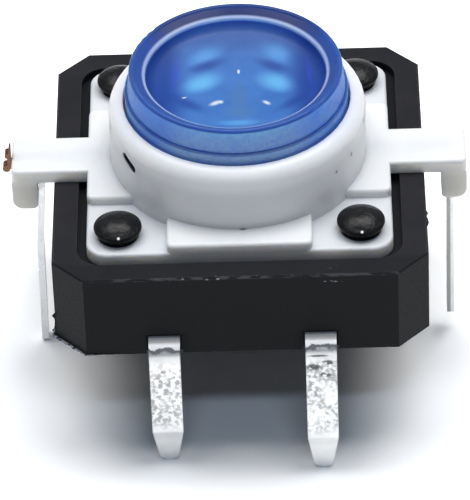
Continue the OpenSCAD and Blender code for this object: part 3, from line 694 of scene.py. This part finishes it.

# %% [markdown]
# ## White cover
# The cover is a smooth white moulding, and light soaks a little way into such plastic before it comes
# back. The top of its collar is painted lighter, as a painted highlight. The pads round the post heads
# and the collar's foot are painted greyer, as shade, the arms below their tops get a painted warm glow,
# and painted shade lies low down against the black rim. The collar has a few dark marks, and the slit
# in its left side looks dark, because hardly any light gets into it.

# %% White plastic: colours and marks
PLASTIC_WHITE = (0.80, 0.81, 0.825, 1)
PLASTIC_WHITE_CLOUD = (0.84, 0.85, 0.86, 1)
PLASTIC_WHITE_LIT = (0.95, 0.955, 0.96, 1)
PLASTIC_WHITE_SHADED = (0.62, 0.64, 0.68, 1)
PLASTIC_WHITE_WARM_GLOW = (0.98, 0.96, 0.88, 1)
LOW_SHADE = (0.7, 0.66, 0.6, 1)
MARK_DARK = (0.1, 0.105, 0.11, 1)
SLIT_DARK = (0.03, 0.032, 0.042, 1)
SOFT_REACH = 0.09
SLIT_REACH = 0.34
SLIT_MIDDLE = Vector((-3.40, -2.17, 4.82))
SLIT_ALONG = Vector((0.50, -0.78, -0.38))

# dark marks on the collar, with dark specks added below
collar_dark_marks = [
    ((3.15, -2.70, 4.59), (SOFT_REACH, SOFT_REACH, SOFT_REACH), 0.2),
    ((3.64, -1.99, 4.74), (SOFT_REACH, SOFT_REACH, 0.13), 0.2),
    ((0.11, -4.15, 3.52), (0.16, 0.1, 0.05), 0.3),
    ((-4.08, -0.78, 5.15), (0.1, 0.05, 0.14), 0.2),
    ((4.05, -0.85, 5.2), (0.1, 0.05, 0.18), 0.2),
]
slit_depth = [
    (SLIT_MIDDLE + SLIT_ALONG * step, (SLIT_REACH, SLIT_REACH, SLIT_REACH), 0.55)
    for step in (-0.28, -0.14, 0, 0.14, 0.28)
]
print(len(collar_dark_marks), "scuffs on the collar")

# %% [markdown]
# The cover's own steps part its shades. The raised cross ends at one height, the pads lie just below it,
# and the collar is everything inside one radius. The slit is darkened only below the collar's skin, so
# that its walls are dark and the collar round it stays white.

# %% White plastic: where each shade lies
COLLAR_OUTER = 4.15
CROSS_TOP = 3.52
PAD_LOW = 3.08
ARM_START = 5.0

white_plastic, tree, sockets = new_material(
    "white_plastic", specular_ior_level=0.45, subsurface_weight=0.6, subsurface_scale=0.8 * MM,
    subsurface_radius=(1.0, 0.85, 0.65)
)
spot, grain = read_part(tree, grains_per_mm=8.0, clouds_per_mm=0.45)
# painted highlight: the top of the collar is made lighter
lit_top = rise(tree, spot["Z"], cover_high.z - 1.0, cover_high.z - 0.5)
under_cross = rise(tree, spot["Z"], CROSS_TOP - 0.08, CROSS_TOP - 0.14)
# painted shade on the pads round the post heads and at the collar's foot
shaded_pads = times(tree, under_cross, rise(tree, spot["Z"], PAD_LOW, PAD_LOW + 0.08), 0.6)
by_collar = rise(tree, spot["From Axis"], COLLAR_OUTER + 0.2, COLLAR_OUTER)
shaded_collar_foot = times(tree, rise(tree, spot["Z"], CROSS_TOP + 0.8, CROSS_TOP), by_collar, 0.4)
far_out = rise(tree, distance(tree, spot["X"]), ARM_START, ARM_START + 0.3)
# painted warm glow on the arms below their tops
glow_on_arms = times(tree, far_out, rise(tree, spot["Z"], CROSS_TOP - 0.06, CROSS_TOP - 0.2))
# painted shade low down against the black rim, made uneven by the cloud
low_down = rise(tree, spot["Z"], cover_low.z + 1.1, cover_low.z + 0.8)
shaded_low = times(tree, low_down, rise(tree, grain["Cloud"], 0.2, 0.8, 0.2, 0.5))
dark_specks = specks(tree, spot, cells_per_mm=1.1, share=0.12, size=0.07)
dark_marks = sum_up(tree, "MAXIMUM", marks(tree, spot, collar_dark_marks), times(tree, dark_specks, 0.5))
under_skin = rise(tree, spot["From Axis"], COLLAR_OUTER - 0.01, COLLAR_OUTER - 0.07)
inside_slit = times(tree, marks(tree, spot, slit_depth), under_skin)
print("white plastic has", len(tree.nodes), "nodes so far")

# %% [markdown]
# The shades are laid on as coats, from the broad ones to the small ones. The slit comes last, because
# nothing lies over its darkness. The skin is smooth, with a low bump from the grain.

# %% White plastic: colour and skin
white = coats(
    tree, PLASTIC_WHITE,
    (rise(tree, grain["Cloud"], 0.3, 0.7), PLASTIC_WHITE_CLOUD),
    (lit_top, PLASTIC_WHITE_LIT),
    # painted shade on the pads and the collar's foot
    (sum_up(tree, "MAXIMUM", shaded_pads, shaded_collar_foot), PLASTIC_WHITE_SHADED),
    # painted warm glow on the arms
    (glow_on_arms, PLASTIC_WHITE_WARM_GLOW),
    # painted shade low down on the cover
    (shaded_low, LOW_SHADE),
    (times(tree, dark_marks, 0.75), MARK_DARK),
    (inside_slit, SLIT_DARK),
)
feed(tree, sockets["Base Color"], white)
feed(tree, sockets["Roughness"], rise(tree, grain["Grain"], 0.3, 0.7, 0.28, 0.38))
feed(tree, sockets["Normal"], bump(tree, grain["Grain"], 0.01, 0.25))
dress(white_plastic, "cover_frame")

# %% [markdown]
# ## Blue see-through cap
# The cap is tinted see-through plastic. Light goes in through the polished bowl, scatters in the tint,
# bounces on the white cover and the lamp beneath, and comes back bluer, so the bowl is bright and the
# thick rim is dark; the rim's darkness is painted shade in its colour. The bowl shows two pairs of bright
# lobes with dark bars between them, a dull wedge and a few glints, which are the shapes underneath, bent
# by the plastic. Their bending can't be read off a picture closely enough to build it, so they are painted
# in as soft marks of light and shade on the bowl's floor.

# %% Blue plastic: colours
CAP_BLUE = (0.075, 0.23, 0.62, 1)
CAP_CLOUD = (0.055, 0.19, 0.56, 1)
CAP_WALL_SHADE = (0.01, 0.055, 0.33, 1)
CAP_STREAK_SHADE = (0.05, 0.07, 0.75, 1)
CAP_SHADE = (0.022, 0.085, 0.38, 1)
CAP_WEDGE_SHADE = (0.09, 0.22, 0.50, 1)
CAP_GLEAM = (0.16, 0.52, 1.0, 1)
CAP_GLINT = (0.75, 0.92, 1.0, 1)
CAP_RIM_SHADE = (0.035, 0.10, 0.38, 1)
CAP_RIM_BACK_SHADE = (0.008, 0.028, 0.15, 1)
CAP_LIP_HIGHLIGHT = (0.52, 0.64, 1.0, 1)
FROST = (0.15, 0.38, 1.0, 1)
FROST_DEEP = (0.11, 0.30, 0.96, 1)
FROST_HIGHLIGHT = (0.38, 0.62, 1.0, 1)
print("cap blue", CAP_BLUE[:3])

# %% [markdown]
# The painted lobes of light, bars of shade and glints are lists of soft marks. They all lie at the height
# of the bowl's floor, and each has its own turn, since they spread from the middle like the petals of a
# flower.

# %% Blue plastic: marks in the bowl
LIP_RADIUS = 2.93
LIP_HEIGHT = cap_top - 0.25
FLOOR = cap_top - 0.96
STEP = cap_top - 0.85

# painted lobes of light
gleams = [
    ((-1.12, 0.36, FLOOR), (1.05, 0.55, 1.0), 0.1, 38),
    ((1.32, 0.26, FLOOR), (1.05, 0.55, 1.0), 0.1, -40),
]
faint_gleams = [
    ((-0.95, 1.72, FLOOR), (1.05, 0.46, 1.0), 0.1, 42),
    ((1.33, 1.70, FLOOR), (1.00, 0.48, 1.0), 0.1, -48),
    ((0.07, -1.95, FLOOR), (1.00, 0.30, 1.0), 0.1),
]
# painted bars of shade
shades = [
    ((-0.95, 1.22, FLOOR), (0.95, 0.30, 1.0), 0.1, 28),
    ((1.20, 1.10, FLOOR), (0.95, 0.30, 1.0), 0.1, -33),
    ((-1.55, -0.85, FLOOR), (0.9, 0.45, 1.0), 0.1, -35),
    ((1.85, -0.95, FLOOR), (0.9, 0.40, 1.0), 0.1, 35),
]
# painted streaks of shade in the side walls
shade_streaks = [
    ((-1.97, 0.60, FLOOR), (0.16, 1.1, 1.0), 0.1, -4),
    ((2.36, 0.50, FLOOR), (0.14, 1.1, 1.0), 0.1, 6),
]
# painted dull wedge of shade
wedge = [
    ((0.08, -0.45, FLOOR), (0.42, 1.2, 1.0), 0.3),
    ((0.08, -1.2, FLOOR), (0.75, 0.6, 1.0), 0.2),
]
# painted glints
glints = [
    ((-0.67, -0.67, FLOOR), (0.34, 0.15, 0.6), 0.05, 39),
    ((-0.52, -0.60, FLOOR), (0.16, 0.14, 0.6), 0.1, 20),
    ((0.97, -0.76, FLOOR), (0.26, 0.11, 0.6), 0.05, -51),
    ((0.08, 0.97, FLOOR), (0.06, 0.14, 0.6), 0.3),
    ((-1.67, -0.50, FLOOR), (0.14, 0.05, 0.6), 0.2, 35),
]
# painted highlights on the rim's left side
rim_highlights = [
    ((-3.35, 0.75, cap_top - 0.15), (0.12, 0.28, 0.2), 0.2),
    ((-3.3, 1.15, cap_top - 0.1), (0.07, 0.08, 0.2), 0.2),
]
print("bowl floor at", round(FLOOR, 2), "mm,", len(glints), "glints in it")

# %% [markdown]
# Round the bowl runs a painted highlight, a pale ring on the lip, where the bowl's wall turns over into
# the rim. Outside it the rim is painted dark as shade, darkest at the back. The masks follow the distance
# from the cap's axis and the height, and painted shade darkens the wall to the left, the right and the
# back, as a curved wall of tinted plastic looks.

# %% Blue plastic: bowl and rim
blue_plastic, tree, sockets = new_material(
    "blue_plastic", ior=1.5, transmission_weight=0.25, specular_ior_level=0.12,
    subsurface_weight=0.7, subsurface_scale=1.6 * MM, subsurface_radius=(0.25, 0.6, 1.0),
)
spot, grain = read_part(tree, grains_per_mm=7.0, clouds_per_mm=0.9)
beyond_lip = rise(tree, spot["From Axis"], LIP_RADIUS, LIP_RADIUS + 0.06)
rim = times(tree, beyond_lip, rise(tree, spot["Z"], LIP_HEIGHT - 0.1, LIP_HEIGHT))
# painted highlight: a pale ring along the lip, weaker at the back
on_lip = rise(tree, distance(tree, spot["From Axis"], LIP_RADIUS), 0.115, 0.04)
high_up = rise(tree, spot["Z"], LIP_HEIGHT - 0.12, LIP_HEIGHT - 0.04)
lip = times(tree, on_lip, high_up, rise(tree, spot["Y"], 0.5, 2.2, 0.8, 1.0))
aside = rise(tree, distance(tree, spot["X"]), 1.4, 2.3)
# painted shade on the bowl's side walls and back wall
shaded_side_wall = times(tree, aside, rise(tree, spot["Z"], FLOOR - 0.1, FLOOR), 0.9)
shaded_back_wall = times(tree, rise(tree, spot["Y"], 1.5, 2.3), rise(tree, spot["Z"], FLOOR, FLOOR + 0.2), 0.6)
# painted shade in the rim, darkest at the back
shaded_rim_blue = blend(tree, rise(tree, spot["Y"], 1.2, 2.6), CAP_RIM_SHADE, CAP_RIM_BACK_SHADE)
bowl = coats(
    tree, CAP_BLUE,
    (rise(tree, grain["Cloud"], 0.3, 0.7), CAP_CLOUD),
    (times(tree, marks(tree, spot, wedge), 0.8), CAP_WEDGE_SHADE),
    (times(tree, marks(tree, spot, faint_gleams), 0.6), CAP_GLEAM),
    (marks(tree, spot, gleams), CAP_GLEAM),
    (times(tree, marks(tree, spot, shades), 0.9), CAP_SHADE),
    (shaded_side_wall, CAP_WALL_SHADE),
    (shaded_back_wall, CAP_SHADE),
    (times(tree, marks(tree, spot, shade_streaks), 0.4), CAP_STREAK_SHADE),
    (marks(tree, spot, glints), CAP_GLINT),
    (rim, shaded_rim_blue),
    (times(tree, marks(tree, spot, rim_highlights), 0.6), CAP_LIP_HIGHLIGHT),
    (lip, CAP_LIP_HIGHLIGHT),
)
print("blue plastic has", len(tree.nodes), "nodes so far")

# %% [markdown]
# The upright side is not polished. The mould left a fine frost on it, with a speckled painted highlight
# where it faces forward and a painted dark line of shade at the step. One material does both: the colour
# and the roughness change where the side begins, and the glass keeps its see-through weight in one
# plain place.

# %% Blue plastic: frosted side and skin
outermost = rise(tree, spot["From Axis"], cap_high.x - 0.24, cap_high.x - 0.18)
side = times(tree, outermost, rise(tree, spot["Z"], cap_top - 0.06, cap_top - 0.14))
# painted highlight where the side faces forward
lit_front = rise(tree, spot["Y"], -2.3, -3.3)
speckled = rise(tree, grain["Grain"], 0.3, 0.7, 0.55, 0.95)
# painted dark line of shade at the step
step_shade_line = rise(tree, distance(tree, spot["Z"], STEP), 0.07, 0.02)
frosted = coats(
    tree, FROST,
    (rise(tree, grain["Cloud"], 0.3, 0.7), FROST_DEEP),
    (times(tree, lit_front, speckled), FROST_HIGHLIGHT),
    (times(tree, step_shade_line, 0.7), CAP_WALL_SHADE),
)
polished = rise(tree, rim, 0.0, 1.0, 0.42, 0.32)
frost = rise(tree, grain["Grain"], 0.3, 0.7, 0.3, 0.5)
feed(tree, sockets["Base Color"], blend(tree, side, bowl, frosted))
feed(tree, sockets["Roughness"], rise(tree, side, 0.0, 1.0, polished, frost))
feed(tree, sockets["Normal"], bump(tree, times(tree, grain["Grain"], side), 0.05, 0.5))
dress(blue_plastic, "button_cap")

# %% [markdown]
# ## Tinned legs
# The legs are cut from brass sheet and dipped in tin, so they are bright metal with a rough skin. Between
# the bend and the kink the tin is pitted, with a few darker dents high on the right leg. Below the kink
# the tips were pressed thin, and there the tin is smooth. Where a leg leaves the base, the bend gets a
# bright ragged painted highlight, with a painted dark line of reflection under it and painted shade
# below that. The kink and the edges get painted shade too.

# %% Tin plate: colours and dents
TIN_BRIGHT = (0.96, 0.962, 0.965, 1)
TIN_SHADE = (0.86, 0.865, 0.87, 1)
TIN_MOTTLE_AND_SHADE = (0.31, 0.305, 0.30, 1)
TIN_DENTS_AND_REFLECTION = (0.13, 0.13, 0.135, 1)
TIN_TIP = (0.95, 0.95, 0.94, 1)
KINK = -2.8
HIGHLIGHT_EDGE = 0.5
LEG_FACE = -6.62

leg_dents = [
    ((2.25, LEG_FACE, -0.2), (0.36, 0.3, 0.16), 0.3),
    ((2.62, LEG_FACE, -0.5), (0.34, 0.3, 0.12), 0.3),
    ((2.72, LEG_FACE, -0.05), (0.3, 0.3, 0.12), 0.3),
    ((2.4, LEG_FACE, 0.2), (0.5, 0.3, 0.06), 0.3),
    ((-2.62, LEG_FACE, -0.32), (0.07, 0.3, 0.07), 0.3),
]
print(len(leg_dents), "dents in the tin")

# %% [markdown]
# The tin's zones follow the height alone, from the painted highlight at the bend down to the tip. A noise
# added to the height makes the highlight's edge ragged, and everything below it is switched off above.

# %% Tin plate: zones along a leg
tin_plate, tree, sockets = new_material("tin_plate")
spot, grain = read_part(tree, grains_per_mm=7.5, clouds_per_mm=1.3)
uneven = rise(tree, noise_on(tree, spot, 3.5, 2.0), 0.25, 0.75, -0.06, 0.06)
ragged_height = sum_up(tree, "ADD", spot["Z"], uneven)
# painted highlight at the bend, with a ragged edge
bend_highlight = rise(tree, ragged_height, HIGHLIGHT_EDGE - 0.02, HIGHLIGHT_EDGE + 0.02)
below_bend = rise(tree, bend_highlight, 1.0, 0.0)
# painted dark line of reflection under the highlight, and painted shade below it
bend_reflection_line = times(tree, rise(tree, ragged_height, HIGHLIGHT_EDGE - 0.14, HIGHLIGHT_EDGE - 0.06), below_bend)
bend_shade = times(tree, rise(tree, ragged_height, HIGHLIGHT_EDGE - 0.7, HIGHLIGHT_EDGE - 0.1), below_bend)
pitted_part = times(
    tree, rise(tree, spot["Z"], 0.2, -0.3), rise(tree, spot["Z"], KINK - 0.1, KINK + 0.7),
    rise(tree, grain["Cloud"], 0.3, 0.6, 0.3, 1.0)
)
mottle = times(tree, rise(tree, grain["Grain"], 0.42, 0.62), pitted_part)
dents = times(tree, marks(tree, spot, leg_dents), rise(tree, grain["Grain"], 0.36, 0.48))
# real dents together with the painted dark reflection line
dark = times(tree, sum_up(tree, "MAXIMUM", dents, bend_reflection_line), 0.85)
# painted shade along the kink
kink_shade = times(
    tree, rise(tree, spot["Z"], KINK - 0.45, KINK - 0.15), rise(tree, spot["Z"], KINK + 0.1, KINK - 0.05)
)
tip = rise(tree, spot["Z"], KINK + 0.1, KINK - 0.4)
print("tin plate has", len(tree.nodes), "nodes so far")

# %% [markdown]
# The coats of tin go from the tip up to the painted highlight at the bend, which covers all the others,
# and where it lies the metal is turned mostly off so that it stays white. Where the skin is pitted it is
# also rougher and lower, so the pits catch the light as well as being grey.

# %% Tin plate: colour and skin
tin = coats(
    tree, TIN_BRIGHT,
    (rise(tree, grain["Cloud"], 0.35, 0.7), TIN_SHADE),
    (times(tree, tip, 0.7), TIN_TIP),
    (times(tree, kink_shade, 0.15), TIN_MOTTLE_AND_SHADE),
    (times(tree, bend_shade, 0.35), TIN_MOTTLE_AND_SHADE),
    (times(tree, mottle, 0.8), TIN_MOTTLE_AND_SHADE),
    # painted dark shade along the leg edges
    (times(tree, edge_line(tree, 0.07), 0.65), TIN_MOTTLE_AND_SHADE),
    (dark, TIN_DENTS_AND_REFLECTION),
    (bend_highlight, TIN_BRIGHT),
)
skin = rise(tree, bend_highlight, 0.0, 1.0, rise(tree, grain["Grain"], 0.3, 0.7, 0.34, 0.46), 0.45)
pits = sum_up(tree, "MAXIMUM", dark, times(tree, mottle, 0.5))
height = sum_up(tree, "SUBTRACT", times(tree, grain["Grain"], 0.6), pits)
feed(tree, sockets["Base Color"], tin)
feed(tree, sockets["Metallic"], rise(tree, bend_highlight, 0.0, 1.0, 1.0, 0.3))
feed(tree, sockets["Roughness"], rise(tree, dark, 0.0, 1.0, skin, 0.7))
feed(tree, sockets["Normal"], bump(tree, height, 0.02, 0.35))
dress(tin_plate, "left_contact_strip", "right_contact_strip")

# %% [markdown]
# ## Lamp leads
# The lamp's two leads are tinned steel strip, smoother than the legs. The left one was cut from its
# carrier at the arm's tip, and the cut shows bare copper-coloured metal. The right one gets painted
# shade along its inner half.

# %% Lead metal
LEAD_BRIGHT = (0.95, 0.955, 0.96, 1)
LEAD_SHADE = (0.84, 0.845, 0.86, 1)
LEAD_PAINTED_SHADE = (0.38, 0.38, 0.36, 1)
BARE_COPPER = (0.22, 0.115, 0.075, 1)
ARM_TIP = cover_high.x
CATHODE_AT = 6.86

lead_metal, tree, sockets = new_material("lead_metal", metallic=1.0)
spot, grain = read_part(tree, grains_per_mm=9.0, clouds_per_mm=1.5)
shaded_inner_half = rise(tree, spot["X"], CATHODE_AT + 0.03, CATHODE_AT - 0.02)
at_left_tip = rise(tree, spot["X"], -ARM_TIP + 0.06, -ARM_TIP - 0.02)
metal = coats(
    tree, LEAD_BRIGHT,
    (rise(tree, grain["Cloud"], 0.3, 0.7), LEAD_SHADE),
    # painted shade along the right lead's inner half
    (times(tree, shaded_inner_half, rise(tree, spot["X"], 0.0, 1.0)), LEAD_PAINTED_SHADE),
    (times(tree, at_left_tip, rise(tree, spot["Z"], 2.6, 2.9)), BARE_COPPER),
)
feed(tree, sockets["Base Color"], metal)
feed(tree, sockets["Roughness"], rise(tree, grain["Grain"], 0.3, 0.7, 0.26, 0.42))
feed(tree, sockets["Normal"], bump(tree, grain["Grain"], 0.012, 0.3))
dress(lead_metal, "anode_lead", "cathode_lead")

# %% [markdown]
# ## Hidden works
# Under the cover sit the snap dome, rolled from thin spring steel, and the plunger, an undyed moulding.
# Rolling draws fine lines along the sheet, so the dome's noise is stretched along one axis. The plunger
# is only grained like the other mouldings.

# %% Spring steel
STEEL_WARM = (0.66, 0.63, 0.56, 1)
STEEL_COOL = (0.58, 0.57, 0.54, 1)

dome_steel, tree, sockets = new_material("dome_steel", metallic=1.0)
spot = use_group(tree, place_group).outputs
rolled = noise_on(tree, spot, (0.6, 14.0, 1.0), 3.0)
feed(tree, sockets["Base Color"], blend(tree, rise(tree, rolled, 0.3, 0.7), STEEL_WARM, STEEL_COOL))
feed(tree, sockets["Roughness"], rise(tree, rolled, 0.3, 0.7, 0.22, 0.38))
feed(tree, sockets["Normal"], bump(tree, rolled, 0.004, 0.3))
dress(dome_steel, "snap_dome")

# %% [markdown]
# The plunger and the lamp's small parts share one plan: two shades mixed by the cloud, and a roughness
# and a bump that follow the grain. Only the numbers differ, so they are listed. The plunger is undyed
# plastic. The chip is a crystal cube, held by a dot of resin full of silver flakes, and two gold wires
# reach it. The smaller the piece, the finer its grain.

# %% Plunger, chip, silver resin and gold
plain_finishes = {
    "natural_plastic": dict(
        shades=((0.74, 0.75, 0.73, 1), (0.8, 0.8, 0.77, 1)), rough=(0.4, 0.55), metal=0.0,
        grains=(10.0, 0.5), relief=0.01, nodes=["plunger"]
    ),
    "chip_crystal": dict(
        shades=((0.25, 0.4, 0.75, 1), (0.35, 0.5, 0.85, 1)), rough=(0.1, 0.2), metal=0.0,
        grains=(40.0, 8.0), relief=0.003, nodes=["led_chip"]
    ),
    "silver_resin": dict(
        shades=((0.6, 0.6, 0.58, 1), (0.78, 0.78, 0.75, 1)), rough=(0.35, 0.6), metal=0.7,
        grains=(40.0, 8.0), relief=0.003, nodes=["die_attach"]
    ),
    "gold_wire": dict(
        shades=((0.83, 0.6, 0.25, 1), (0.9, 0.68, 0.32, 1)), rough=(0.15, 0.28), metal=1.0,
        grains=(40.0, 8.0), relief=0.003, nodes=["anode_bond_wire", "cathode_bond_wire"]
    ),
}
for name, finish in plain_finishes.items():
    material, tree, sockets = new_material(name, metallic=finish["metal"])
    spot, grain = read_part(tree, *finish["grains"])
    feed(tree, sockets["Base Color"], blend(tree, grain["Cloud"], *finish["shades"]))
    feed(tree, sockets["Roughness"], rise(tree, grain["Grain"], 0.3, 0.7, *finish["rough"]))
    feed(tree, sockets["Normal"], bump(tree, grain["Grain"], finish["relief"], 0.3))
    dress(material, *finish["nodes"])

# %% [markdown]
# ## Lens of the lamp
# The lens is clear resin, cast, so it is smooth, with a hint of flow in it.

# %% Clear resin
RESIN = (0.93, 0.96, 1.0, 1)
RESIN_CLOUD = (0.88, 0.93, 0.99, 1)

clear_resin, tree, sockets = new_material("clear_resin", ior=1.52, transmission_weight=1.0)
spot, grain = read_part(tree, grains_per_mm=6.0, clouds_per_mm=1.0)
feed(tree, sockets["Base Color"], blend(tree, grain["Cloud"], RESIN, RESIN_CLOUD))
feed(tree, sockets["Roughness"], rise(tree, grain["Grain"], 0.3, 0.7, 0.02, 0.06))
feed(tree, sockets["Normal"], bump(tree, grain["Cloud"], 0.02, 0.2))
dress(clear_resin, "led_lens")
